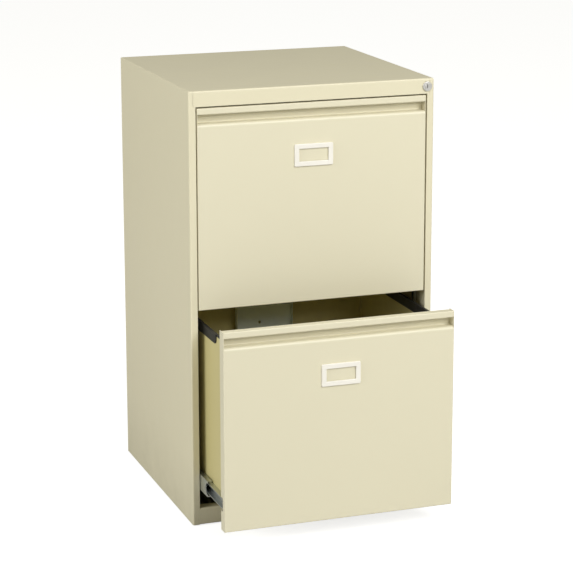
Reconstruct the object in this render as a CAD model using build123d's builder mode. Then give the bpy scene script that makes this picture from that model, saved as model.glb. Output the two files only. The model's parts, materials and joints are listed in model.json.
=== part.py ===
"""Two-drawer steel filing cabinet with flush drawer fronts, ball-bearing slides and a corner lock.

Frame: +Z up, +Y towards the back, +X to the right of a person facing the drawers. The origin is on
the floor, under the middle of the box that just holds the cabinet at rest, with its lower drawer
open by lower_pull and the label frame proud of it. Millimetres.
"""

import os
from math import cos, radians, sin

from build123d import *

os.makedirs("parts", exist_ok=True)

# ---------------------------------------------------------------- driving dimensions
case_width = 413.0
case_height = 711.0
case_depth = 400.0
lower_pull = 125.0  # how far the lower drawer stands open at rest

sheet = 1.0  # all folded sheet steel
bend = 2.5  # outside bend radius of the sheet
stile_face = 11.5  # width of the case's upright front edges
stile_return = 20.0  # how far those edges turn back into the case
top_rail_face = 25.0
base_rail_top = 29.5
back_flange = 12.0  # width of the rim that the back panel sits against
floor_gap = 1.5  # the glides hold the case this far off the floor
seam_in = 7.5  # the stile and top rail meet this far in from the corner
seam_width = 0.5
seam_depth = 0.35

front_gap = 2.5  # between a drawer front and the rail above or below it
middle_gap = 3.5  # between the two drawer fronts
side_gap = 2.0  # between a drawer front and a stile
front_depth = 18.0  # how deep the hollow drawer front is
front_return = 16.0  # its sides turn inwards this far, flat on the wall behind
lip_face = 10.5  # the pull: a lip, then a channel under it for the fingers
lip_depth = 13.0
lip_round = 2.0
groove_depth = 16.0
groove_low = 25.0  # the channel's floor, below the top of the front
groove_edge_round = 5.0  # where the channel's floor turns down into the panel
groove_round = 2.0
slide_cut_play = 2.5  # the front's side flange is cut away this far round a slide

inner_front_flange = 9.0
slide_pass = 1.0  # between a stile and the slide that passes it
floor_rise = 26.0  # the body's floor, above the bottom of the front
body_drop = 23.0  # the top edge of the body's sides, below the top of the front
body_rear_gap = 16.0  # between a shut drawer's back and the back of the case
back_tab = 10.0  # the back's flanges, turned forward inside the sides
back_foot_inset = 20.0

rail_wall = 1.6  # plastic hanging-file rail clipped over each side's top edge
rail_crown = 3.5
rail_skirt = 16.0
rail_cutback = 45.0  # the outer skirt starts this far behind the front
rail_play = 0.15

label_width = 65.0
label_height = 36.0
label_border = 7.8
label_depth = 3.0
label_round = 2.0
label_drop = 84.0  # the middle of the label frame, below the top of the front
label_pin_radius = 2.0
label_card_slot = 0.8

slide_thick = 12.7  # telescopic slide, three members with balls between
slide_rear_gap = 26.0  # between the fixed member and the back of the case
slide_rise = 43.0  # the slide's middle, above the bottom of the front
slide_setback = 24.0  # the fixed member starts this far behind the case's front
slide_wall = 1.2
slide_half = 17.5  # half the height of the fixed member
slide_web_gap = 1.0  # between the webs of the fixed and middle members
slide_lead = 12.0  # the drawer member starts this far ahead of the fixed one
ball_radius = 1.5
ball_play = 0.1
race_lip = 1.2
cage_wall = 0.6
cage_length = 120.0
balls_in_row = 5
ball_pitch = 24.0

follower_width = 102.0
follower_drop = 48.0  # the plate's top, below the top of the front
follower_round = 10.0
follower_flange = 9.0
follower_foot = 27.0
follower_back = 8.0  # the follower's plate stands this far ahead of the drawer's back
follower_hole = 2.5
follower_hole_x = -7.0
follower_hole_drop = 48.0  # below the plate's top
track_width = 36.0
track_height = 7.0
track_slot = 12.0
track_clear = 0.4

lock_inset = 12.0  # the lock's axis, in from the case's side
lock_face_radius = 8.0
lock_body_radius = 6.0
lock_plug_radius = 4.2
lock_face_proud = 2.2
lock_body_length = 24.0
lock_running = 0.05  # radial clearance of the plug
keyway_width = 1.4
keyway_height = 6.0
keyway_depth = 5.0
lock_nut_radius = 9.0
lock_nut_thick = 3.0
crank_radius = 8.0  # the crank pin's distance from the plug's axis
crank_angle = 45.0  # below the level when open, as far above it when locked
crank_pin_radius = 1.5
crank_thick = 2.0
spindle_radius = 2.5

bar_back = 58.0  # the lock bar's front face, behind the case's front
bar_depth = 8.0
bar_wall_gap = 1.2
bar_thick = 4.3
bar_bottom = 60.0
bar_slot_play = 1.0
bar_fork_thick = 1.6
bar_tab_height = 8.0
catch_rise = 130.0  # the middle of a drawer's catch, above the bottom of the front
catch_half = 5.0
catch_foot = 20.0
catch_thick = 2.0
catch_clear = 1.0
tab_reach = 5.0  # the bar's tabs stop this far short of the drawer's side
guide_rise = 35.0  # the middle of a bar guide, above the catch
guide_height = 18.0
guide_ear = 9.0
guide_wall = 1.2

glide_radius = 14.0
glide_height = 5.0
glide_peg_radius = 4.0
glide_inset = 38.0
pan_floor = 12.0  # underside of the base pan
rivet_radius = 2.0
rivet_head_radius = 3.6
rivet_head = 0.7
fit_gap = 0.2

# ---------------------------------------------------------------- places that follow from them
front_y = (lower_pull + label_depth - case_depth) / 2
back_y = front_y + case_depth
half_width = case_width / 2
wall_in = half_width - sheet
opening_half = half_width - stile_face
rail_low = case_height - top_rail_face
front_half = opening_half - side_gap
front_height = (rail_low - base_rail_top - 2 * front_gap - middle_gap) / 2
lower_z = base_rail_top + front_gap
upper_z = lower_z + front_height + middle_gap
body_rise = front_height - body_drop
body_length = case_depth - front_depth - body_rear_gap
drawers = {"upper": (upper_z, 0.0), "lower": (lower_z, lower_pull)}
sides = {"left": -1, "right": 1}

race_gap = 2 * (ball_radius + ball_play)
fixed_in = slide_half - slide_wall  # inner face of the fixed member's flanges
mid_half = fixed_in - race_gap
mid_in = mid_half - slide_wall
inner_half = mid_in - race_gap
slide_length = case_depth - slide_setback - slide_rear_gap
fixed_web = slide_thick - slide_wall
mid_web = fixed_web - slide_web_gap - slide_wall
body_half = opening_half - slide_pass - mid_web - slide_wall  # the drawer body's outer face
outer_ball_height = (fixed_in + mid_half) / 2
inner_ball_height = (mid_in + inner_half) / 2
inner_reach = mid_web - slide_web_gap  # how far the drawer member's flanges stand out
outer_ball_out = 7.4
inner_ball_out = 5.4
rivet_places = (14.0, slide_length - 20.0)

bar_out = wall_in - bar_wall_gap
bar_in = bar_out - bar_thick
lock_x = half_width - lock_inset
lock_z = case_height - top_rail_face / 2 - sheet / 2
pin_x = lock_x + crank_radius * cos(radians(crank_angle))
pin_z = lock_z - crank_radius * sin(radians(crank_angle))


def slab(xs, ys, zs, mode=Mode.ADD):
    """A block between two corners, in the builder that is open."""
    with Locations([(sum(xs) / 2, sum(ys) / 2, sum(zs) / 2)]):
        Box(abs(xs[1] - xs[0]), abs(ys[1] - ys[0]), abs(zs[1] - zs[0]), mode=mode)


def rod_y(x, z, radius, y_start, y_end, mode=Mode.ADD):
    """A round bar along Y, in the builder that is open."""
    with Locations(Location((x, (y_start + y_end) / 2, z), (90, 0, 0))):
        Cylinder(radius, abs(y_end - y_start), mode=mode)


def rod_x(y, z, radius, x_start, x_end, mode=Mode.ADD):
    """A round bar along X, in the builder that is open."""
    with Locations(Location(((x_start + x_end) / 2, y, z), (0, 90, 0))):
        Cylinder(radius, abs(x_end - x_start), mode=mode)


def finish(builder, name):
    """Labels a finished piece and writes its file."""
    builder.part.label = name
    export_step(builder.part, f"parts/{name}.step")


# ---------------------------------------------------------------- the case
def make_case():
    """The top with its front rail, and the two sides with their stiles and rear rims."""
    with BuildPart() as cavity:
        slab((-wall_in, wall_in), (front_y + sheet, back_y - sheet), (-bend, case_height - sheet))
        fillet(cavity.edges().filter_by(Axis.Z), bend - sheet)
        fillet(cavity.faces().sort_by(Axis.Z)[-1].edges(), bend - sheet)

    with BuildPart() as wrap:
        slab((-half_width, half_width), (front_y, back_y), (floor_gap, case_height))
        fillet(wrap.edges().filter_by(Axis.Z), bend)
        fillet(wrap.faces().sort_by(Axis.Z)[-1].edges(), bend)
        add(cavity.part, mode=Mode.SUBTRACT)
        slab((-opening_half, opening_half), (front_y - sheet, front_y + bend), (0, rail_low), Mode.SUBTRACT)
        rim_half = half_width - back_flange
        rim_z = (0, case_height - back_flange)
        slab((-rim_half, rim_half), (back_y - bend, back_y + sheet), rim_z, Mode.SUBTRACT)
        for side in sides.values():
            stile = (side * opening_half, side * (opening_half + sheet))
            slab(stile, (front_y, front_y + stile_return), (floor_gap, rail_low))
            seam = side * (half_width - seam_in)
            seam_x = (seam - seam_width / 2, seam + seam_width / 2)
            slab(seam_x, (front_y, front_y + seam_depth), (rail_low, case_height - bend), Mode.SUBTRACT)
        slab((-opening_half, opening_half), (front_y, front_y + stile_return), (rail_low, rail_low + sheet))
        rod_y(lock_x, lock_z, lock_body_radius + fit_gap, front_y - sheet, front_y + 2 * sheet, Mode.SUBTRACT)

    seam = half_width - seam_in
    top_zone = ((-seam, seam), (front_y - sheet, back_y + sheet), (rail_low, case_height + sheet))
    with BuildPart() as case_top:
        add(wrap.part)
        slab(*top_zone, Mode.INTERSECT)
    finish(case_top, "case_top")
    for side_name, side in sides.items():
        with BuildPart() as case_side:
            add(wrap.part)
            slab((0, side * half_width), (front_y, back_y), (floor_gap, case_height), Mode.INTERSECT)
            slab(*top_zone, Mode.SUBTRACT)
        finish(case_side, f"case_side_{side_name}")


def make_back_panel():
    """The flat sheet inside the rear rim."""
    with BuildPart() as back_panel:
        panel_half = wall_in - fit_gap - bend
        z_range = (floor_gap + sheet, case_height - sheet - bend)
        slab((-panel_half, panel_half), (back_y - 2 * sheet, back_y - sheet), z_range)
    finish(back_panel, "back_panel")


def make_base():
    """The plinth rail between the stiles and the pan that closes the bottom."""
    rail_half = opening_half - fit_gap
    flange_back = front_y + front_depth
    with BuildPart() as base_rail:
        with BuildSketch(Plane.YZ.offset(-rail_half)):
            with BuildLine():
                low = (flange_back, floor_gap)
                low_front = (front_y, floor_gap)
                top_front = (front_y, base_rail_top)
                top = (flange_back, base_rail_top)
                FilletPolyline(low, low_front, top_front, top, radius=bend)
                offset(amount=sheet, side=Side.RIGHT)
            make_face()
        extrude(amount=2 * rail_half)
    finish(base_rail, "base_rail")

    pan_half = wall_in - fit_gap
    pan_front = front_y + stile_return + fit_gap
    pan_back = back_y - 2 * sheet - fit_gap
    with BuildPart() as base_pan:
        slab((-pan_half, pan_half), (pan_front, pan_back), (floor_gap + sheet, pan_floor + sheet))
        inside_x = (-pan_half + sheet, pan_half - sheet)
        slab(inside_x, (pan_front + sheet, pan_back - sheet), (0, pan_floor), Mode.SUBTRACT)
        for x, y in glide_places():
            with Locations((x, y, pan_floor + sheet / 2)):
                Cylinder(glide_peg_radius, 2 * sheet, mode=Mode.SUBTRACT)
    finish(base_pan, "base_pan")


def glide_places():
    """Where the four glides stand."""
    x = half_width - glide_inset
    return [(i * x, y) for i in (-1, 1) for y in (front_y + glide_inset + bend, back_y - glide_inset)]


def make_glides():
    """Four plastic glides pushed into the base pan."""
    with BuildPart() as glides:
        for x, y in glide_places():
            with Locations((x, y, glide_height / 2)):
                Cylinder(glide_radius, glide_height)
            with Locations((x, y, (glide_height + pan_floor) / 2)):
                Cylinder(glide_radius / 2, pan_floor - glide_height)
            peg_height = 4 * sheet
            with Locations((x, y, pan_floor + peg_height / 2)):
                Cylinder(glide_peg_radius, peg_height)
        chamfer(glides.faces().group_by(Axis.Z)[0].edges(), sheet)
    finish(glides, "glides")


def make_runner_bracket(level, side_name, z_low, side):
    """The channel that carries a slide's fixed member off the case's side."""
    middle = z_low + slide_rise
    web = body_half + slide_thick
    y_range = (front_y + slide_setback, front_y + slide_setback + slide_length)
    z_range = (middle - slide_half, middle + slide_half)
    with BuildPart() as bracket:
        slab((side * web, side * wall_in), y_range, z_range)
        hollow_z = (z_range[0] + sheet, z_range[1] - sheet)
        slab((side * (web + sheet), side * (wall_in + sheet)), y_range, hollow_z, Mode.SUBTRACT)
        for along in rivet_places:
            y = y_range[0] + along
            rod_x(y, middle, rivet_radius, side * (web - sheet), side * (web + 2 * sheet), Mode.SUBTRACT)
        if side_name == "right":
            slot_x = (bar_in - bar_slot_play, wall_in + sheet)
            slot_y = (front_y + bar_back - bar_slot_play, front_y + bar_back + bar_depth + bar_slot_play)
            slab(slot_x, slot_y, (z_range[0] - sheet, z_range[1] + sheet), Mode.SUBTRACT)
    finish(bracket, f"{level}_runner_bracket_{side_name}")


# ---------------------------------------------------------------- telescopic slides
def channel(side, web, flange_end, half, middle, y_range, wall=slide_wall):
    """A C-shaped member: its web at one distance out from the drawer, flanges to another."""
    web_near, web_far = min(web), max(web)
    out = [side * (body_half + d) for d in (min(web_near, flange_end), max(web_far, flange_end))]
    slab(out, y_range, (middle - half, middle + half))
    if flange_end < web_near:
        hollow = (flange_end - wall, web_near)
    else:
        hollow = (web_far, flange_end + wall)
    hollow_x = [side * (body_half + d) for d in hollow]
    slab(hollow_x, y_range, (middle - half + wall, middle + half - wall), Mode.SUBTRACT)


def make_slide(level, z_low, pull):
    """One drawer's pair of slides: fixed, middle and drawer members on each side, and the balls."""
    middle = z_low + slide_rise
    fixed_y = front_y + slide_setback
    mid_y = fixed_y - pull / 2
    inner_y = fixed_y - slide_lead - pull
    for side_name, side in sides.items():
        make_fixed_member(level, side_name, side, middle, fixed_y)
        make_mid_member(level, side_name, side, middle, mid_y)
        make_drawer_member(level, side_name, side, middle, inner_y)
    outer_centre = fixed_y + slide_length / 2 - pull / 4
    inner_centre = fixed_y + slide_length / 2 - pull * 3 / 4
    outer_web = fixed_web - (slide_web_gap + cage_wall) / 2
    make_balls(f"{level}_outer", middle, outer_centre, outer_ball_height, outer_ball_out, outer_web)
    inner_web = mid_web - (slide_web_gap + cage_wall) / 2
    make_balls(f"{level}_inner", middle, inner_centre, inner_ball_height, inner_ball_out, inner_web)


def make_fixed_member(level, side_name, side, middle, y_start):
    """The slide member riveted to the runner bracket, with lips that keep the balls in."""
    y_range = (y_start, y_start + slide_length)
    flange_end = outer_ball_out - ball_radius - race_lip - slide_wall
    with BuildPart() as member:
        channel(side, (fixed_web, slide_thick), flange_end, slide_half, middle, y_range)
        lip_x = [side * (body_half + flange_end + d) for d in (0, slide_wall)]
        for up in (-1, 1):
            lip_z = [middle + up * (fixed_in - d) for d in (0, race_lip)]
            slab(lip_x, y_range, lip_z)
        for along in rivet_places:
            web_x = [side * (body_half + d) for d in (fixed_web - sheet, slide_thick + sheet)]
            rod_x(y_start + along, middle, rivet_radius, *web_x, Mode.SUBTRACT)
    finish(member, f"{level}_slide_fixed_{side_name}")


def make_mid_member(level, side_name, side, middle, y_start):
    """The middle slide member, with a round notch in the front end of its web."""
    y_range = (y_start, y_start + slide_length)
    flange_end = inner_ball_out - ball_radius - race_lip
    with BuildPart() as member:
        channel(side, (mid_web, mid_web + slide_wall), flange_end, mid_half, middle, y_range)
        notch = mid_in - 2 * slide_wall
        notch_x = [side * (body_half + d) for d in (mid_web - sheet, mid_web + slide_wall + sheet)]
        rod_x(y_start, middle, notch, *notch_x, Mode.SUBTRACT)
        rod_x(y_range[1], middle, notch, *notch_x, Mode.SUBTRACT)
    finish(member, f"{level}_slide_middle_{side_name}")


def make_drawer_member(level, side_name, side, middle, y_start):
    """The slide member riveted to the drawer's side. It reaches forward into the front's flange."""
    y_range = (y_start, y_start + slide_length)
    with BuildPart() as member:
        channel(side, (0, slide_wall), inner_reach, inner_half, middle, y_range)
        for along in rivet_places:
            hole_x = [side * (body_half + d) for d in (-sheet, slide_wall + sheet)]
            rod_x(y_start + slide_lead + along, middle, rivet_radius, *hole_x, Mode.SUBTRACT)
    finish(member, f"{level}_slide_drawer_{side_name}")


def make_balls(name, middle, y_centre, height, out, web):
    """The cages of one stage of both slides, and their balls."""
    places = [y_centre + (i - (balls_in_row - 1) / 2) * ball_pitch for i in range(balls_in_row)]
    cage_y = (y_centre - cage_length / 2, y_centre + cage_length / 2)
    edge = out - ball_radius - cage_wall
    half = height + cage_wall / 2
    with BuildPart() as cages:
        for side in sides.values():
            channel(side, (web, web + cage_wall), edge, half, middle, cage_y, cage_wall)
            for y in places:
                with Locations((side * (body_half + out), y, middle)):
                    Cylinder(ball_radius + ball_play, 2 * half + sheet, mode=Mode.SUBTRACT)
    finish(cages, f"{name}_ball_cages")
    with BuildPart() as balls:
        for side in sides.values():
            rows = [(side * (body_half + out), y, middle + up * height) for y in places for up in (-1, 1)]
            with Locations(rows):
                Sphere(ball_radius)
    finish(balls, f"{name}_balls")


def make_fixed_rivets():
    """Rivets that hold the fixed members to their brackets."""
    with BuildPart() as rivets:
        for z_low, _ in drawers.values():
            for side in sides.values():
                for along in rivet_places:
                    y = front_y + slide_setback + along
                    z = z_low + slide_rise
                    web = side * (body_half + fixed_web)
                    rod_x(y, z, rivet_head_radius, web - side * rivet_head, web)
                    rod_x(y, z, rivet_radius, web, web + side * (slide_wall + 2 * sheet))
    finish(rivets, "slide_rivets")


# ---------------------------------------------------------------- a drawer
def make_drawer_front(level, z_low, y_face):
    """The hollow front: flat panel, a channel under a lip for the fingers, closed ends."""
    z_top = z_low + front_height
    inner_x = front_half - sheet
    y_open = y_face + front_depth
    lip_low = z_top - lip_face
    groove_floor = z_top - groove_low
    groove_back = y_face + groove_depth
    outer_round = groove_round + sheet
    slide_z = z_low + slide_rise
    with BuildPart() as front:
        slab((-front_half, front_half), (y_face, y_open), (z_low, z_top))
        fillet(front.faces().sort_by(Axis.Y)[0].edges(), bend - sheet)
        # the finger channel, between the two end walls
        with BuildSketch(Plane.YZ.offset(-inner_x)):
            with BuildLine():
                lip_edge = (y_face, lip_low + 2 * lip_round)
                panel_edge = (y_face, groove_floor - 2 * groove_edge_round)
                FilletPolyline(
                    lip_edge,
                    (y_face, lip_low),
                    (groove_back, lip_low),
                    (groove_back, groove_floor),
                    (y_face, groove_floor),
                    panel_edge,
                    radius=[lip_round, groove_round, groove_round, groove_edge_round],
                )
                outside = y_face - sheet
                Polyline(panel_edge, (outside, panel_edge[1]), (outside, lip_edge[1]), lip_edge)
            make_face()
        extrude(amount=2 * inner_x, mode=Mode.SUBTRACT)
        # the hollow behind the panel, the channel and the lip, open at the back
        with BuildSketch(Plane.YZ.offset(-inner_x)):
            with BuildLine():
                skin = y_face + sheet
                low_corner = (skin, z_low + sheet)
                lip_corner = (skin, z_top - sheet)
                FilletPolyline(
                    low_corner,
                    (skin, groove_floor - sheet),
                    (groove_back + sheet, groove_floor - sheet),
                    (groove_back + sheet, lip_low + sheet),
                    (skin, lip_low + sheet),
                    lip_corner,
                    radius=[groove_edge_round - sheet, outer_round, outer_round, lip_round - sheet],
                )
                Polyline(
                    lip_corner,
                    (y_face + lip_depth, z_top - sheet),
                    (y_face + lip_depth, z_top + sheet),
                    (y_open + sheet, z_top + sheet),
                    (y_open + sheet, z_low + sheet),
                    low_corner,
                )
            make_face()
        extrude(amount=2 * inner_x, mode=Mode.SUBTRACT)
        for side in sides.values():
            return_x = (side * (front_half - front_return), side * front_half)
            slab(return_x, (y_open - sheet, y_open), (z_low, groove_floor - 2 * sheet))
            cut_x = (side * (front_half - front_return - sheet), side * (front_half + sheet))
            cut_half = inner_half + slide_cut_play
            cut_y = (y_face + slide_setback - slide_lead - slide_cut_play, y_open + sheet)
            slab(cut_x, cut_y, (slide_z - cut_half, slide_z + cut_half), Mode.SUBTRACT)
        for x in label_pins():
            rod_y(x, z_top - label_drop, label_pin_radius, y_face - sheet, y_face + 2 * sheet, Mode.SUBTRACT)
    finish(front, f"{level}_drawer_front")


def label_pins():
    """Where the label frame's two pins pass the drawer front."""
    reach = (label_width - label_border) / 2
    return (-reach, reach)


def make_label_frame(level, z_low, y_face):
    """The frame that holds a name card, pinned to the drawer front."""
    middle = z_low + front_height - label_drop
    with BuildPart() as label_frame:
        with BuildSketch(Plane.XZ.offset(-y_face)):
            with Locations((0, middle)):
                RectangleRounded(label_width, label_height, label_round)
                Rectangle(label_width - 2 * label_border, label_height - 2 * label_border, mode=Mode.SUBTRACT)
        extrude(amount=label_depth)
        fillet(label_frame.faces().sort_by(Axis.Y)[0].edges(), sheet)
        # the slot behind the border takes the card
        slot_half = (label_width - label_border) / 2 - label_pin_radius - sheet
        slot_z = (label_height - label_border) / 2
        slot_y = (y_face - label_card_slot, y_face)
        slab((-slot_half, slot_half), slot_y, (middle - slot_z, middle + slot_z), Mode.SUBTRACT)
        for x in label_pins():
            rod_y(x, middle, label_pin_radius, y_face, y_face + 2 * sheet)
    finish(label_frame, f"{level}_label_frame")


def make_inner_front(level, z_low, y_face):
    """The wall behind the hollow front, its top turned forward over the finger channel."""
    wall_y = y_face + front_depth
    wall_half = body_half - sheet
    flange_z = z_low + front_height - lip_face + sheet + fit_gap
    with BuildPart() as inner_front:
        slab((-wall_half, wall_half), (wall_y, wall_y + sheet), (z_low + floor_rise + sheet, flange_z + sheet))
        flange_y = (wall_y - inner_front_flange, wall_y)
        slab((-wall_half, wall_half), flange_y, (flange_z, flange_z + sheet))
    finish(inner_front, f"{level}_drawer_inner_front")


def make_drawer_pan(level, z_low, y_face):
    """Floor and both sides of the drawer body, folded from one sheet."""
    floor = z_low + floor_rise
    top = z_low + body_rise
    y_range = (y_face + front_depth, y_face + front_depth + body_length)
    rivet_z = z_low + slide_rise
    with BuildPart() as pan:
        slab((-body_half, body_half), y_range, (floor, top))
        fillet(pan.faces().sort_by(Axis.Z)[0].edges().filter_by(Axis.Y), bend)
        inside = body_half - sheet
        open_y = (y_range[0] - sheet, y_range[1] + sheet)
        slab((-inside, inside), open_y, (floor + sheet, top + sheet), Mode.SUBTRACT)
        for side in sides.values():
            for along in rivet_places:
                y = y_face + slide_setback + along
                hole_x = (side * (inside - sheet), side * (body_half + sheet))
                rod_x(y, rivet_z, rivet_radius, *hole_x, Mode.SUBTRACT)
    finish(pan, f"{level}_drawer_pan")


def make_drawer_back(level, z_low, y_face):
    """The back of the drawer body, with flanges turned forward along the sides and floor."""
    floor = z_low + floor_rise + sheet
    top = z_low + body_rise
    rear = y_face + front_depth + body_length
    inside = body_half - sheet
    low_rail = top - rail_skirt
    with BuildPart() as drawer_back:
        slab((-inside, inside), (rear - sheet, rear), (floor, top))
        for side in sides.values():
            tab_x = (side * (inside - sheet), side * inside)
            slab(tab_x, (rear - back_tab, rear - sheet), (floor + 2 * bend, low_rail))
        foot_half = inside - back_foot_inset
        slab((-foot_half, foot_half), (rear - back_tab, rear - sheet), (floor, floor + sheet))
        track_room_y = (rear - back_tab - sheet, rear - sheet)
        slab((-track_width, track_width), track_room_y, (floor, floor + sheet), Mode.SUBTRACT)
    finish(drawer_back, f"{level}_drawer_back")


def make_file_rail(level, side_name, side, z_low, y_face):
    """The plastic rail that hanging files ride on, clipped over a side's top edge."""
    top = z_low + body_rise
    crown = (top, top + rail_crown)
    skirt = (top + rail_crown - rail_skirt, top)
    y_start = y_face + front_depth + sheet + fit_gap
    y_end = y_face + front_depth + body_length - sheet - fit_gap
    outer = body_half + rail_play
    inner = body_half - sheet - rail_play
    skirt_start = y_face + front_depth + rail_cutback
    with BuildPart() as rail:
        slab((side * (inner - rail_wall), side * outer), (y_start, y_end), crown)
        slab((side * (inner - rail_wall), side * inner), (y_start, y_end), skirt)
        skirt_x = (side * outer, side * (outer + rail_wall))
        slab(skirt_x, (skirt_start, y_end), (skirt[0], crown[1]))
        end_edges = rail.edges().filter_by(Axis.X)
        skirt_edges = end_edges.filter_by_position(Axis.Y, skirt_start - 1, skirt_start + 1)
        fillet(skirt_edges.sort_by(Axis.Z)[0], rail_skirt / 2)
    finish(rail, f"{level}_file_rail_{side_name}")


def make_drawer_rivets(level, z_low, y_face):
    """Rivets that hold the drawer members to the drawer's sides."""
    with BuildPart() as rivets:
        for side in sides.values():
            for along in rivet_places:
                y = y_face + slide_setback + along
                z = z_low + slide_rise
                web = side * (body_half + slide_wall)
                rod_x(y, z, rivet_head_radius, web, web + side * 2 * rivet_head)
                rod_x(y, z, rivet_radius, web, web - side * (slide_wall + sheet))
                tail = side * (body_half - sheet)
                rod_x(y, z, rivet_head_radius, tail, tail - side * rivet_head)
    finish(rivets, f"{level}_drawer_rivets")


def make_catch(level, z_low, y_face):
    """The angle on the drawer's right side that the lock bar's tab blocks."""
    z = z_low + catch_rise
    y_start = y_face + bar_back + bar_depth + catch_clear
    reach = opening_half - 2 * fit_gap
    with BuildPart() as catch:
        z_range = (z - catch_half, z + catch_half)
        slab((body_half, body_half + catch_thick), (y_start, y_start + catch_foot), z_range)
        slab((body_half, reach), (y_start, y_start + catch_thick), z_range)
    finish(catch, f"{level}_drawer_catch")


def make_follower(level, z_low, y_face):
    """The follower: a plated sheet that holds the files upright, and the track it slides in."""
    floor = z_low + floor_rise + sheet
    rear = y_face + front_depth + body_length - sheet
    plate_y = rear - follower_back
    half = follower_width / 2
    track_top = floor + track_height
    foot = track_width / 2 - sheet - track_clear
    foot_top = track_top - sheet - track_clear
    neck = track_slot / 2 - track_clear
    with BuildPart() as track:
        track_y = (y_face + front_depth + sheet + fit_gap, rear - fit_gap)
        slab((-track_width / 2, track_width / 2), track_y, (floor, track_top))
        inner = track_width / 2 - sheet
        slab((-inner, inner), track_y, (floor + sheet, track_top - sheet), Mode.SUBTRACT)
        slot_z = (track_top - 2 * sheet, track_top + sheet)
        slab((-track_slot / 2, track_slot / 2), track_y, slot_z, Mode.SUBTRACT)
    finish(track, f"{level}_follower_track")

    with BuildPart() as follower:
        stand = track_top + track_clear
        plate_top = z_low + front_height - follower_drop
        slab((-half, half), (plate_y - sheet, plate_y), (stand, plate_top))
        fillet(follower.edges().filter_by(Axis.Y).group_by(Axis.Z)[-1], follower_round)
        for side in sides.values():
            flange_x = (side * (half - sheet), side * half)
            slab(flange_x, (plate_y - follower_flange, plate_y), (stand, plate_top - follower_round))
        foot_y = (plate_y - follower_foot, plate_y)
        slab((-half, half), foot_y, (stand, stand + sheet))
        slab((-neck, neck), foot_y, (foot_top - sheet, stand))
        slab((-foot, foot), foot_y, (foot_top - sheet, foot_top))
        hole_z = plate_top - follower_hole_drop
        hole_y = (plate_y - 2 * sheet, plate_y + sheet)
        rod_y(follower_hole_x, hole_z, follower_hole, *hole_y, Mode.SUBTRACT)
    finish(follower, f"{level}_follower")


def make_drawer(level, z_low, pull):
    """Every piece of one drawer, its slides and its brackets."""
    y_face = front_y - pull
    make_drawer_front(level, z_low, y_face)
    make_label_frame(level, z_low, y_face)
    make_inner_front(level, z_low, y_face)
    make_drawer_pan(level, z_low, y_face)
    make_drawer_back(level, z_low, y_face)
    make_drawer_rivets(level, z_low, y_face)
    make_catch(level, z_low, y_face)
    make_follower(level, z_low, y_face)
    make_slide(level, z_low, pull)
    for side_name, side in sides.items():
        make_file_rail(level, side_name, side, z_low, y_face)
        make_runner_bracket(level, side_name, z_low, side)


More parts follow.
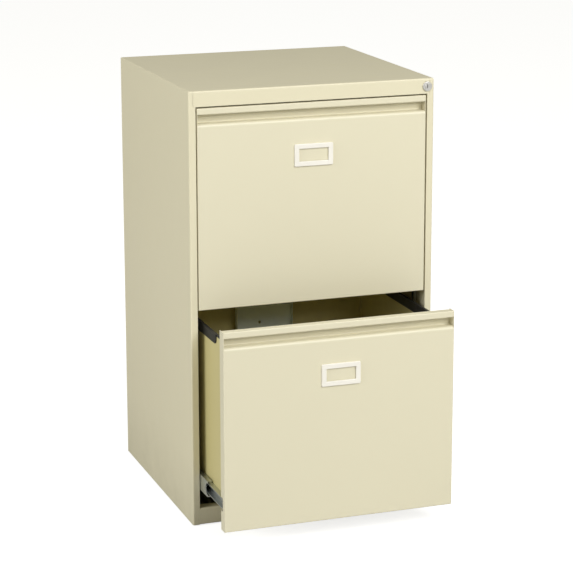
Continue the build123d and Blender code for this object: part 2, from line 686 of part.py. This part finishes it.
# ---------------------------------------------------------------- the lock
def make_lock():
    """Barrel, nut, plug, spindle with its round crank, and the bar that blocks both drawers."""
    nut_y = front_y + sheet
    barrel_end = front_y + lock_body_length
    face_y = front_y - lock_face_proud
    with BuildPart() as barrel:
        rod_y(lock_x, lock_z, lock_face_radius, face_y, front_y)
        fillet(barrel.faces().sort_by(Axis.Y)[0].edges(), sheet)
        rod_y(lock_x, lock_z, lock_body_radius, front_y, barrel_end)
        bore_radius = lock_plug_radius + lock_running
        rod_y(lock_x, lock_z, bore_radius, face_y - sheet, barrel_end + sheet, Mode.SUBTRACT)
    finish(barrel, "lock_barrel")

    with BuildPart() as nut:
        with BuildSketch(Plane.XZ.offset(-nut_y)):
            with Locations((lock_x, lock_z)):
                RegularPolygon(lock_nut_radius, 6)
                Circle(lock_body_radius, mode=Mode.SUBTRACT)
        extrude(amount=-lock_nut_thick)
    finish(nut, "lock_nut")

    with BuildPart() as plug:
        rod_y(lock_x, lock_z, lock_plug_radius, face_y, barrel_end + fit_gap)
        key_x = (lock_x - keyway_width / 2, lock_x + keyway_width / 2)
        key_z = (lock_z - keyway_height / 2, lock_z + keyway_height / 2)
        slab(key_x, (face_y, face_y + keyway_depth), key_z, Mode.SUBTRACT)
    finish(plug, "lock_plug")

    fork_y = front_y + bar_back
    crank_y = fork_y - bar_fork_thick - fit_gap
    with BuildPart() as spindle:
        rod_y(lock_x, lock_z, spindle_radius, barrel_end + fit_gap, crank_y)
        with BuildSketch(Plane.XZ.offset(-crank_y)):
            with Locations((lock_x, lock_z)):
                Circle(crank_radius + spindle_radius)
        extrude(amount=crank_thick)
        rod_y(pin_x, pin_z, crank_pin_radius, crank_y, fork_y + sheet)
    finish(spindle, "lock_spindle")

    with BuildPart() as bar:
        bar_y = (fork_y, fork_y + bar_depth)
        slot_half = crank_pin_radius + fit_gap * 2
        fork_half = slot_half + 2 * sheet
        slab((bar_in, bar_out), bar_y, (bar_bottom, pin_z + fork_half))
        fork_in = lock_x
        slab((fork_in, bar_out), (fork_y - bar_fork_thick, fork_y), (pin_z - fork_half, pin_z + fork_half))
        slot_x = (fork_in + sheet, lock_x + crank_radius + slot_half)
        slot_y = (fork_y - bar_fork_thick, fork_y + 2 * sheet)
        slab(slot_x, slot_y, (pin_z - slot_half, pin_z + slot_half), Mode.SUBTRACT)
        for z_low, _ in drawers.values():
            tab_top = z_low + catch_rise - catch_half - catch_clear
            slab((body_half + tab_reach, bar_in), bar_y, (tab_top - bar_tab_height, tab_top))
    finish(bar, "lock_bar")

    with BuildPart() as guides:
        for z_low, _ in drawers.values():
            z = z_low + catch_rise + guide_rise
            guide_y = (fork_y - fit_gap, fork_y + bar_depth + fit_gap)
            z_range = (z - guide_height / 2, z + guide_height / 2)
            near = bar_in - fit_gap
            slab((near - guide_wall, wall_in), (guide_y[0] - guide_wall, guide_y[1] + guide_wall), z_range)
            slab((near, wall_in), guide_y, (z_range[0] - sheet, z_range[1] + sheet), Mode.SUBTRACT)
            for y_range in ((guide_y[0] - guide_ear, guide_y[0]), (guide_y[1], guide_y[1] + guide_ear)):
                slab((wall_in - guide_wall, wall_in), y_range, z_range)
    finish(guides, "lock_bar_guides")


make_case()
make_back_panel()
make_base()
make_glides()
make_fixed_rivets()
make_lock()
for level_name, (low, pulled) in drawers.items():
    make_drawer(level_name, low, pulled)
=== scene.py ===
"""Looks of the two-drawer filing cabinet: painted sheet, zinc slides, plastic rails, soft studio light.

Metres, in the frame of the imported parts: +Z up, +Y towards the back, +X to the right.
"""

import json
import math

import bmesh
import bpy
from mathutils import Matrix, Vector


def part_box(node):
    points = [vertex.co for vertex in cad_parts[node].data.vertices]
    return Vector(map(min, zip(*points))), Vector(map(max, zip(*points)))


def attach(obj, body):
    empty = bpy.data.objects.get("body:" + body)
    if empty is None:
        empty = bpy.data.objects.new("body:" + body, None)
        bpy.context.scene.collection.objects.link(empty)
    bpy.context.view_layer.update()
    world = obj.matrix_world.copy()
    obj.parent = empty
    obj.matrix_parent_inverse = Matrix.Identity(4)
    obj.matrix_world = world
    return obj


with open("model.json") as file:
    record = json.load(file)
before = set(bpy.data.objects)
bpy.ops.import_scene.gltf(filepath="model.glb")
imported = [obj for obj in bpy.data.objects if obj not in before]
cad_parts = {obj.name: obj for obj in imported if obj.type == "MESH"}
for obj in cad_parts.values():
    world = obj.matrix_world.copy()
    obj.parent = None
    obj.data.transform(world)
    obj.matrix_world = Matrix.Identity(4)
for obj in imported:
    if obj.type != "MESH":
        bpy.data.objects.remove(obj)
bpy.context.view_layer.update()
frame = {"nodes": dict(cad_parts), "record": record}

case_low, case_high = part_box("case_top")
case_front = case_low.y  # the plane of the case's front
case_top = case_high.z
levels = ("upper", "lower")

# ---------------------------------------------------------------- colours, in linear light
CREAM_CASE = (0.740, 0.690, 0.500)
CREAM_DRAWER = (0.735, 0.690, 0.515)
# The drawer body's cream has painted shade: darker and more yellow than the case, standing in for the
# shade on the drawer's sides.
CREAM_BODY_PAINTED_SHADE = (0.620, 0.550, 0.260)  # the drawer behind its front
CREAM_WORN = (0.86, 0.83, 0.70)
LABEL_WHITE = (0.93, 0.90, 0.82)
ZINC = (0.62, 0.64, 0.62)
ZINC_DARK = (0.56, 0.60, 0.60)
PLATE_GREY = (0.780, 0.850, 0.810)  # the light grey plate of the followers
RAIL_BLACK = (0.016, 0.016, 0.015)
CAGE_BLACK = (0.03, 0.03, 0.03)
GLIDE_BLACK = (0.022, 0.022, 0.024)
CHROME = (0.74, 0.73, 0.70)
BALL_STEEL = (0.80, 0.80, 0.80)


# ---------------------------------------------------------------- shared finish effects
GLOSS_FINENESS = 9.0  # how much finer the drift in gloss is than the drift in tone


def new_group(name, inputs, outputs):
    """An empty shader node group with named sockets, and its input and output nodes."""
    group = bpy.data.node_groups.new(name, "ShaderNodeTree")
    for label, value in inputs:
        socket = group.interface.new_socket(label, in_out="INPUT", socket_type="NodeSocketFloat")
        socket.default_value = value
    for label, kind in outputs:
        group.interface.new_socket(label, in_out="OUTPUT", socket_type=kind)
    return group, group.nodes.new("NodeGroupInput"), group.nodes.new("NodeGroupOutput")


def value_math(tree, operation, first, second):
    """A math node; each operand is a socket or a number."""
    node = tree.nodes.new("ShaderNodeMath")
    node.operation = operation
    for socket, operand in zip(node.inputs, (first, second)):
        if isinstance(operand, (int, float)):
            socket.default_value = operand
        else:
            tree.links.new(operand, socket)
    return node.outputs[0]


def noise(tree, scale, detail, vector):
    """A noise node on the given coordinates; the scale is a socket or a number."""
    node = tree.nodes.new("ShaderNodeTexNoise")
    node.inputs["Detail"].default_value = detail
    if isinstance(scale, (int, float)):
        node.inputs["Scale"].default_value = scale
    else:
        tree.links.new(scale, node.inputs["Scale"])
    tree.links.new(vector, node.inputs["Vector"])
    return node.outputs["Fac"]


def make_edge_wear():
    """Mask of the sheet's edges, broken up by noise, and a normal that rounds them."""
    inputs = [("Radius", 0.0005), ("Amount", 1.0), ("Breakup", 90.0)]
    outputs = [("Mask", "NodeSocketFloat"), ("Normal", "NodeSocketVector")]
    group, given, result = new_group("edge wear", inputs, outputs)
    bevel = group.nodes.new("ShaderNodeBevel")
    bevel.samples = 4
    geometry = group.nodes.new("ShaderNodeNewGeometry")
    place = group.nodes.new("ShaderNodeTexCoord")
    dot = group.nodes.new("ShaderNodeVectorMath")
    dot.operation = "DOT_PRODUCT"
    group.links.new(given.outputs["Radius"], bevel.inputs["Radius"])
    group.links.new(bevel.outputs["Normal"], dot.inputs[0])
    group.links.new(geometry.outputs["True Normal"], dot.inputs[1])
    bent = value_math(group, "SUBTRACT", 1.0, dot.outputs["Value"])
    spread = noise(group, given.outputs["Breakup"], detail=4.0, vector=place.outputs["Object"])
    broken = value_math(group, "MULTIPLY", bent, spread)
    mask = value_math(group, "MULTIPLY", broken, given.outputs["Amount"])
    limit = group.nodes.new("ShaderNodeClamp")
    group.links.new(mask, limit.inputs["Value"])
    group.links.new(limit.outputs["Result"], result.inputs["Mask"])
    group.links.new(bevel.outputs["Normal"], result.inputs["Normal"])
    return group


def make_surface_grain():
    """Slow tone drift, fine surface relief and a roughness drift, for paint, plate and plastic."""
    inputs = [("Drift scale", 3.0), ("Grain scale", 700.0), ("Stretch", 1.0)]
    outputs = [(label, "NodeSocketFloat") for label in ("Tone", "Relief", "Gloss drift")]
    group, given, result = new_group("surface grain", inputs, outputs)
    place = group.nodes.new("ShaderNodeTexCoord")
    stretch = group.nodes.new("ShaderNodeCombineXYZ")
    stretch.inputs["X"].default_value = 1.0
    stretch.inputs["Z"].default_value = 1.0
    group.links.new(given.outputs["Stretch"], stretch.inputs["Y"])
    drawn = group.nodes.new("ShaderNodeVectorMath")
    drawn.operation = "MULTIPLY"
    group.links.new(place.outputs["Object"], drawn.inputs[0])
    group.links.new(stretch.outputs["Vector"], drawn.inputs[1])
    tone = noise(group, given.outputs["Drift scale"], detail=3.0, vector=place.outputs["Object"])
    relief = noise(group, given.outputs["Grain scale"], detail=2.0, vector=drawn.outputs["Vector"])
    finer = value_math(group, "MULTIPLY", given.outputs["Drift scale"], GLOSS_FINENESS)
    gloss = noise(group, finer, detail=5.0, vector=drawn.outputs["Vector"])
    group.links.new(tone, result.inputs["Tone"])
    group.links.new(relief, result.inputs["Relief"])
    group.links.new(gloss, result.inputs["Gloss drift"])
    return group


def make_floor_dust():
    """Mask of the dust that gathers low on the cabinet, patchy, fading upwards."""
    inputs = [("Height", 0.12), ("Amount", 1.0)]
    group, given, result = new_group("floor dust", inputs, [("Mask", "NodeSocketFloat")])
    place = group.nodes.new("ShaderNodeTexCoord")
    split = group.nodes.new("ShaderNodeSeparateXYZ")
    group.links.new(place.outputs["Object"], split.inputs["Vector"])
    share = value_math(group, "DIVIDE", split.outputs["Z"], given.outputs["Height"])
    fade = value_math(group, "SUBTRACT", 1.0, share)
    patches = noise(group, scale=24.0, detail=5.0, vector=place.outputs["Object"])
    patchy = value_math(group, "MULTIPLY", fade, patches)
    scaled = value_math(group, "MULTIPLY", patchy, given.outputs["Amount"])
    limit = group.nodes.new("ShaderNodeClamp")
    group.links.new(scaled, limit.inputs["Value"])
    group.links.new(limit.outputs["Result"], result.inputs["Mask"])
    return group


EDGE_WEAR = make_edge_wear()
SURFACE_GRAIN = make_surface_grain()
FLOOR_DUST = make_floor_dust()


def place_group(tree, group, **values):
    """Puts a shared effect into a material with its own values."""
    node = tree.nodes.new("ShaderNodeGroup")
    node.node_tree = group
    for label, value in values.items():
        node.inputs[label.replace("_", " ")].default_value = value
    return node


def between(tree, mask, low, high):
    """A number that goes from low to high as the mask goes from 0 to 1."""
    node = tree.nodes.new("ShaderNodeMapRange")
    tree.links.new(mask, node.inputs["Value"])
    node.inputs["To Min"].default_value = low
    node.inputs["To Max"].default_value = high
    return node.outputs["Result"]


def blend_colours(tree, mask, first, second):
    """A colour between two, by the mask; each is a colour or a socket."""
    node = tree.nodes.new("ShaderNodeMix")
    node.data_type = "RGBA"
    tree.links.new(mask, node.inputs["Factor"])
    for socket, colour in ((node.inputs["A"], first), (node.inputs["B"], second)):
        if isinstance(colour, tuple):
            socket.default_value = (*colour, 1.0)
        else:
            tree.links.new(colour, socket)
    return node.outputs["Result"]


def darker(colour, share):
    """The same colour with less light."""
    return tuple(c * share for c in colour)


def paler(colour, step):
    """The same colour with more light, and no brighter than white."""
    return tuple(min(1.0, c + step) for c in colour)


def start_material(name, metallic):
    """A material with its shader, ready for its finish."""
    material = bpy.data.materials.new(name)
    material.use_nodes = True
    shader = material.node_tree.nodes["Principled BSDF"]
    shader.inputs["Metallic"].default_value = metallic
    return material, material.node_tree, shader


def drift_roughness(tree, shader, grain, low, high):
    """Roughness that drifts over the surface from low to high."""
    tree.links.new(between(tree, grain.outputs["Gloss drift"], low, high), shader.inputs["Roughness"])


def relief_normal(tree, shader, height, depth, base_normal):
    """Fine relief over the rounded edges."""
    bump = tree.nodes.new("ShaderNodeBump")
    bump.inputs["Distance"].default_value = depth
    bump.inputs["Strength"].default_value = 1.0
    tree.links.new(height, bump.inputs["Height"])
    tree.links.new(base_normal, bump.inputs["Normal"])
    tree.links.new(bump.outputs["Normal"], shader.inputs["Normal"])


def powder_coat(name, colour, dust=0.0):
    """Satin powder coat: faint orange peel, slow tone drift, lighter rubbed edges, and any floor dust."""
    material, tree, shader = start_material(name, 0.0)
    grain = place_group(tree, SURFACE_GRAIN, Drift_scale=2.6, Grain_scale=520.0)
    wear = place_group(tree, EDGE_WEAR, Radius=0.0006, Amount=2.2)
    painted = blend_colours(tree, grain.outputs["Tone"], darker(colour, share=0.965), colour)
    rubbed = blend_colours(tree, wear.outputs["Mask"], painted, CREAM_WORN)
    if dust:
        low = place_group(tree, FLOOR_DUST, Amount=dust)
        rubbed = blend_colours(tree, low.outputs["Mask"], rubbed, darker(colour, share=0.62))
    tree.links.new(rubbed, shader.inputs["Base Color"])
    drift_roughness(tree, shader, grain, low=0.34, high=0.52)
    relief_normal(tree, shader, grain.outputs["Relief"], depth=0.00004, base_normal=wear.outputs["Normal"])
    return material


def zinc_plate(name):
    """Bright zinc plate, drawn along the slides, a little dulled in patches."""
    material, tree, shader = start_material(name, 1.0)
    grain = place_group(tree, SURFACE_GRAIN, Drift_scale=9.0, Grain_scale=1400.0, Stretch=0.04)
    wear = place_group(tree, EDGE_WEAR, Radius=0.0003, Amount=2.0)
    dulled = blend_colours(tree, grain.outputs["Gloss drift"], ZINC_DARK, ZINC)
    plated = blend_colours(tree, wear.outputs["Mask"], dulled, BALL_STEEL)
    tree.links.new(plated, shader.inputs["Base Color"])
    drift_roughness(tree, shader, grain, low=0.46, high=0.26)
    relief_normal(tree, shader, grain.outputs["Relief"], depth=0.00002, base_normal=wear.outputs["Normal"])
    return material


def plastic(name, colour, rough_low, rough_high):
    """Moulded plastic with a fine spark-eroded grain and scuffed edges."""
    material, tree, shader = start_material(name, 0.0)
    grain = place_group(tree, SURFACE_GRAIN, Drift_scale=6.0, Grain_scale=1100.0)
    wear = place_group(tree, EDGE_WEAR, Radius=0.0004, Amount=1.2)
    moulded = blend_colours(tree, grain.outputs["Tone"], darker(colour, share=0.8), colour)
    scuffed = blend_colours(tree, wear.outputs["Mask"], moulded, paler(colour, step=0.08))
    tree.links.new(scuffed, shader.inputs["Base Color"])
    drift_roughness(tree, shader, grain, low=rough_low, high=rough_high)
    relief_normal(tree, shader, grain.outputs["Relief"], depth=0.00005, base_normal=wear.outputs["Normal"])
    return material


def bright_plate(name, colour, rough_low, rough_high):
    """Polished plated metal with faint handling marks."""
    material, tree, shader = start_material(name, 1.0)
    grain = place_group(tree, SURFACE_GRAIN, Drift_scale=60.0, Grain_scale=2600.0)
    wear = place_group(tree, EDGE_WEAR, Radius=0.0002, Amount=1.0)
    handled = blend_colours(tree, grain.outputs["Gloss drift"], darker(colour, share=0.86), colour)
    tree.links.new(handled, shader.inputs["Base Color"])
    drift_roughness(tree, shader, grain, low=rough_low, high=rough_high)
    relief_normal(tree, shader, grain.outputs["Relief"], depth=0.00001, base_normal=wear.outputs["Normal"])
    return material


def dulled_plate(name):
    """Plated sheet gone dull: a light chalky grey with a slow sheen drift and bright cut edges."""
    material, tree, shader = start_material(name, 0.35)
    grain = place_group(tree, SURFACE_GRAIN, Drift_scale=14.0, Grain_scale=900.0)
    wear = place_group(tree, EDGE_WEAR, Radius=0.0004, Amount=2.4)
    chalky = blend_colours(tree, grain.outputs["Tone"], darker(PLATE_GREY, share=0.86), PLATE_GREY)
    plated = blend_colours(tree, wear.outputs["Mask"], chalky, BALL_STEEL)
    tree.links.new(plated, shader.inputs["Base Color"])
    drift_roughness(tree, shader, grain, low=0.42, high=0.58)
    relief_normal(tree, shader, grain.outputs["Relief"], depth=0.00002, base_normal=wear.outputs["Normal"])
    return material


FINISHES = {
    "case_paint": powder_coat("case powder coat", CREAM_CASE, dust=0.5),
    "drawer_paint": powder_coat("drawer powder coat", CREAM_DRAWER),
    "label_white": plastic("label frame white", LABEL_WHITE, rough_low=0.30, rough_high=0.42),
    "rail_plastic": plastic("file rail black", RAIL_BLACK, rough_low=0.42, rough_high=0.60),
    "cage_plastic": plastic("ball cage black", CAGE_BLACK, rough_low=0.40, rough_high=0.55),
    "glide_plastic": plastic("glide black", GLIDE_BLACK, rough_low=0.45, rough_high=0.62),
    "zinc_plate": zinc_plate("zinc plate"),
    "ball_steel": bright_plate("ball steel", BALL_STEEL, rough_low=0.05, rough_high=0.12),
    "lock_chrome": bright_plate("lock plate", CHROME, rough_low=0.36, rough_high=0.50),
}

FOLLOWER_PLATE = dulled_plate("follower plate")
# The coat of the drawer bodies, with painted shade in its darker, yellower cream.
BODY_COAT_PAINTED_SHADE = powder_coat("drawer body coat with painted shade", CREAM_BODY_PAINTED_SHADE)
PAINTED_SHADE_PARTS = ("drawer_pan", "drawer_back", "drawer_inner_front")


def dress_parts():
    """Gives every part its finish."""
    for row in frame["record"]["subparts"]:
        mesh = frame["nodes"][row["node"]].data
        finish = FINISHES[row["material_slot"]]
        # Pans, backs and inner fronts take the coat with painted shade.
        if row["node"].endswith(PAINTED_SHADE_PARTS):
            finish = BODY_COAT_PAINTED_SHADE
        if row["node"].endswith("_follower"):
            finish = FOLLOWER_PLATE
        mesh.materials.clear()
        mesh.materials.append(finish)


# ---------------------------------------------------------------- spot welds on the drawer sides
WELD_TURNS = 12
WELD_RINGS = ((0.0026, 0.0), (0.0021, 0.00022), (0.0014, 0.00020), (0.0008, 0.00006))  # radius, height
WELD_SIZE_LOW = 0.88
WELD_SIZE_HIGH = 1.08
WELDS_IN_ROW = 6
WELD_EDGE_INSET = 0.007
WELD_ABOVE_FLOOR = 0.095
WELD_BELOW_TOP = 0.032
FIRST_WELD_SEED = 3


def make_weld_stamp():
    """One painted-over spot weld: a low raised ring round a shallow dish, on the +X side of a sheet."""
    points = [
        (out, radius * math.cos(math.tau * i / WELD_TURNS), radius * math.sin(math.tau * i / WELD_TURNS))
        for radius, out in WELD_RINGS
        for i in range(WELD_TURNS)
    ]
    faces = []
    for ring in range(len(WELD_RINGS) - 1):
        outer = ring * WELD_TURNS
        inner = outer + WELD_TURNS
        for i in range(WELD_TURNS):
            after = (i + 1) % WELD_TURNS
            faces.append((outer + i, outer + after, inner + after, inner + i))
    faces.append(tuple((len(WELD_RINGS) - 1) * WELD_TURNS + i for i in range(WELD_TURNS)))
    mesh = bpy.data.meshes.new("weld stamp")
    mesh.from_pydata(points, [], faces)
    return bpy.data.objects.new("weld stamp", mesh)


def make_row_tree(stamp):
    """A node tree that sets a stamp along a straight row, each a little different in size."""
    tree = bpy.data.node_groups.new("stamp row", "GeometryNodeTree")
    wanted = (
        ("Start", "NodeSocketVector"),
        ("Step", "NodeSocketVector"),
        ("Count", "NodeSocketInt"),
        ("Turn", "NodeSocketFloat"),
        ("Seed", "NodeSocketInt"),
        ("Finish", "NodeSocketMaterial"),
    )
    ids = {}
    for label, kind in wanted:
        ids[label] = tree.interface.new_socket(label, in_out="INPUT", socket_type=kind).identifier
    tree.interface.new_socket("Geometry", in_out="OUTPUT", socket_type="NodeSocketGeometry")
    given = tree.nodes.new("NodeGroupInput")
    line = tree.nodes.new("GeometryNodeMeshLine")
    line.mode = "OFFSET"
    tree.links.new(given.outputs["Count"], line.inputs["Count"])
    tree.links.new(given.outputs["Start"], line.inputs["Start Location"])
    tree.links.new(given.outputs["Step"], line.inputs["Offset"])
    source = tree.nodes.new("GeometryNodeObjectInfo")
    source.inputs["Object"].default_value = stamp
    size = tree.nodes.new("FunctionNodeRandomValue")
    size.data_type = "FLOAT"
    tree.links.new(given.outputs["Seed"], size.inputs["Seed"])
    low, high = [socket for socket in size.inputs if socket.type == "VALUE" and socket.enabled][:2]
    low.default_value = WELD_SIZE_LOW
    high.default_value = WELD_SIZE_HIGH
    about_z = tree.nodes.new("ShaderNodeCombineXYZ")
    tree.links.new(given.outputs["Turn"], about_z.inputs["Z"])
    placed = tree.nodes.new("GeometryNodeInstanceOnPoints")
    tree.links.new(line.outputs["Mesh"], placed.inputs["Points"])
    tree.links.new(source.outputs["Geometry"], placed.inputs["Instance"])
    tree.links.new(about_z.outputs["Vector"], placed.inputs["Rotation"])
    drawn = [socket for socket in size.outputs if socket.type == "VALUE" and socket.enabled][0]
    tree.links.new(drawn, placed.inputs["Scale"])
    merged = tree.nodes.new("GeometryNodeRealizeInstances")
    painted = tree.nodes.new("GeometryNodeSetMaterial")
    tree.links.new(placed.outputs["Instances"], merged.inputs["Geometry"])
    tree.links.new(merged.outputs["Geometry"], painted.inputs["Geometry"])
    tree.links.new(given.outputs["Finish"], painted.inputs["Material"])
    result = tree.nodes.new("NodeGroupOutput")
    tree.links.new(painted.outputs["Geometry"], result.inputs["Geometry"])
    return tree, ids


def grow_row(tree, ids, values):
    """The mesh that the row tree makes with these values."""
    carrier = bpy.data.objects.new("row", bpy.data.meshes.new("row"))
    bpy.context.scene.collection.objects.link(carrier)
    rows = carrier.modifiers.new("row", "NODES")
    rows.node_group = tree
    for label, value in values.items():
        rows[ids[label]] = value
    bpy.context.view_layer.update()
    grown = carrier.evaluated_get(bpy.context.evaluated_depsgraph_get())
    mesh = bpy.data.meshes.new_from_object(grown)
    bpy.data.objects.remove(carrier)
    return mesh


def make_drawer_welds(level, tree, ids):
    """Welds down the front and rear edges of both drawer sides, above the slides."""
    low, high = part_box(f"{level}_drawer_pan")
    foot = low.z + WELD_ABOVE_FLOOR
    rise = (high.z - WELD_BELOW_TOP - foot) / (WELDS_IN_ROW - 1)
    edges = (low.y + WELD_EDGE_INSET, high.y - WELD_EDGE_INSET)
    gathered = bmesh.new()
    for number, (side, edge_y) in enumerate((s, y) for s in (-1, 1) for y in edges):
        values = {
            "Start": (high.x if side > 0 else low.x, edge_y, foot),
            "Step": (0.0, 0.0, rise),
            "Count": WELDS_IN_ROW,
            "Turn": 0.0 if side > 0 else math.pi,
            "Seed": number + FIRST_WELD_SEED,
            # The welds take the drawer body's coat with its painted shade.
            "Finish": BODY_COAT_PAINTED_SHADE,
        }
        row = grow_row(tree, ids, values)
        gathered.from_mesh(row)
        bpy.data.meshes.remove(row)
    mesh = bpy.data.meshes.new(f"{level}_drawer_welds")
    gathered.to_mesh(mesh)
    gathered.free()
    mesh.materials.append(BODY_COAT_PAINTED_SHADE)
    mesh.shade_smooth()
    welds = bpy.data.objects.new(f"{level}_drawer_welds", mesh)
    bpy.context.scene.collection.objects.link(welds)
    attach(welds, f"{level}_drawer")


def weld_drawers():
    """Sets the welds on both drawers, from one stamp and one row tree."""
    stamp = make_weld_stamp()
    tree, ids = make_row_tree(stamp)
    for level in levels:
        make_drawer_welds(level, tree, ids)
    bpy.data.objects.remove(stamp)


# ---------------------------------------------------------------- studio
FLOOR_HALF = 30.0
FLOOR_GREY = (0.55, 0.55, 0.54)
FLOOR_ROUGHNESS = 0.9
FLOOR_GLOW = 0.78  # light of its own, which the floor shows the camera alone
SURROUND_COLOUR = (1.0, 0.975, 0.86)
SURROUND_STRENGTH = 0.30
KEY_LIGHT = {"place": (1.2, -3.3, 2.6), "size": 2.2, "power": 132.0}
FILL_LIGHT = {"place": (-3.4, -0.6, 1.9), "size": 2.4, "power": 78.0}
CAMERA_SENSOR = 36.0
CAMERA_LENS = 132.71
CAMERA_REACH = 200.0
CAMERA_SHIFT = -0.1
CAMERA_TURN = 19.485
CAMERA_DIP = 12.837
CAMERA_ROLL = -0.095
CAMERA_PLACE = (-1.1399, -3.0925, 1.2285)  # its Y is from the case's front


def make_floor():
    """A plain floor, wide enough to fill every view, shown to the camera as white."""
    half = FLOOR_HALF
    mesh = bpy.data.meshes.new("floor")
    corners = [(-half, -half, 0), (half, -half, 0), (half, half, 0), (-half, half, 0)]
    mesh.from_pydata(corners, [], [(0, 1, 2, 3)])
    floor = bpy.data.objects.new("floor", mesh)
    bpy.context.scene.collection.objects.link(floor)
    material, tree, shader = start_material("studio floor", 0.0)
    shader.inputs["Base Color"].default_value = (*FLOOR_GREY, 1.0)
    shader.inputs["Roughness"].default_value = FLOOR_ROUGHNESS
    shader.inputs["Emission Color"].default_value = (1.0, 1.0, 1.0, 1.0)
    seen = tree.nodes.new("ShaderNodeLightPath")
    glow = value_math(tree, "MULTIPLY", seen.outputs["Is Camera Ray"], FLOOR_GLOW)
    tree.links.new(glow, shader.inputs["Emission Strength"])
    mesh.materials.append(material)


def make_light(name, target, place, size, power):
    """A soft square lamp that faces a point."""
    data = bpy.data.lights.new(name, "AREA")
    data.shape = "SQUARE"
    data.size = size
    data.energy = power
    lamp = bpy.data.objects.new(name, data)
    lamp.location = place
    lamp.rotation_euler = (Vector(target) - Vector(place)).to_track_quat("-Z", "Y").to_euler()
    bpy.context.scene.collection.objects.link(lamp)


def make_world():
    """A dim warm surround that lights the cabinet, shown to the camera as plain white."""
    world = bpy.data.worlds.new("studio")
    bpy.context.scene.world = world
    world.use_nodes = True
    tree = world.node_tree
    surround = tree.nodes["Background"]
    surround.inputs["Color"].default_value = (*SURROUND_COLOUR, 1.0)
    surround.inputs["Strength"].default_value = SURROUND_STRENGTH
    backdrop = tree.nodes.new("ShaderNodeBackground")
    backdrop.inputs["Color"].default_value = (1.0, 1.0, 1.0, 1.0)
    seen = tree.nodes.new("ShaderNodeLightPath")
    either = tree.nodes.new("ShaderNodeMixShader")
    tree.links.new(seen.outputs["Is Camera Ray"], either.inputs["Fac"])
    tree.links.new(surround.outputs["Background"], either.inputs[1])
    tree.links.new(backdrop.outputs["Background"], either.inputs[2])
    tree.links.new(either.outputs["Shader"], tree.nodes["World Output"].inputs["Surface"])


def make_camera():
    """A long lens in front of the cabinet, left of it and above it, turned towards the right."""
    data = bpy.data.cameras.new("camera")
    data.sensor_width = CAMERA_SENSOR
    data.lens = CAMERA_LENS
    data.shift_y = CAMERA_SHIFT
    data.clip_end = CAMERA_REACH
    camera = bpy.data.objects.new("camera", data)
    turn, dip, roll = (math.radians(angle) for angle in (CAMERA_TURN, CAMERA_DIP, CAMERA_ROLL))
    ahead = Vector((math.sin(turn) * math.cos(dip), math.cos(turn) * math.cos(dip), -math.sin(dip)))
    aim = ahead.to_track_quat("-Z", "Y").to_matrix() @ Matrix.Rotation(roll, 3, "Z")
    camera.rotation_euler = aim.to_euler()
    camera.location = Vector(CAMERA_PLACE) + Vector((0.0, case_front, 0.0))
    bpy.context.scene.collection.objects.link(camera)
    bpy.context.scene.camera = camera


dress_parts()
weld_drawers()
make_floor()
make_world()
middle = Vector((0.0, 0.0, case_top / 2))
make_light("key", middle, **KEY_LIGHT)
make_light("fill", middle, **FILL_LIGHT)
make_camera()
bpy.context.scene.view_settings.view_transform = "Standard"
